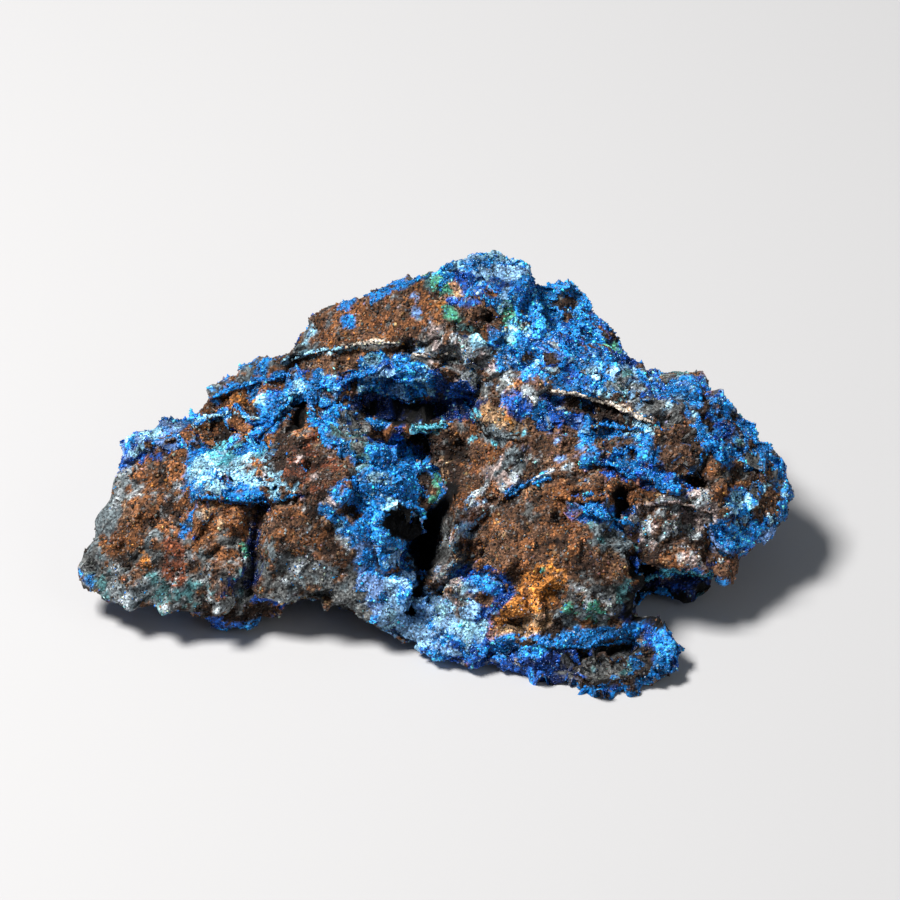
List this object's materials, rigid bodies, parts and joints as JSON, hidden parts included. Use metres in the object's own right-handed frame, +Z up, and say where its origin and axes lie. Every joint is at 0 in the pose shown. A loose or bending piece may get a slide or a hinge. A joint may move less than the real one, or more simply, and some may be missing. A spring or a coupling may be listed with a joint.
{
  "type": "azurite specimen",
  "caption": "Hand-sized mineral specimen: a rough brown limonite rock with crusts of blue azurite crystals, lying on its broad underside.",
  "frame": {"origin": "middle of the bounding box's underside, at the level the specimen rests on", "axes": "+X along the specimen's length, towards the wing side; +Y to the back, away from the show face; +Z up"},
  "size_m": [0.0592, 0.0418, 0.0225],
  "materials": {
    "limonite": "matte, rough broken rock",
    "azurite": "glossy crystal faces"
  },
  "bodies": {
    "root": {"limonite_matrix": "limonite", "azurite_crown": "azurite", "azurite_slope": "azurite", "azurite_back_knob": "azurite", "azurite_left_knob": "azurite", "azurite_pale_patch": "azurite", "azurite_upper_band": "azurite", "azurite_cascade": "azurite", "azurite_lower_sheet": "azurite", "azurite_wing_chain": "azurite", "azurite_wing_rim": "azurite", "azurite_foot": "azurite", "azurite_plate": "azurite", "azurite_hollow_lining": "azurite"}
  },
  "joints": []
}
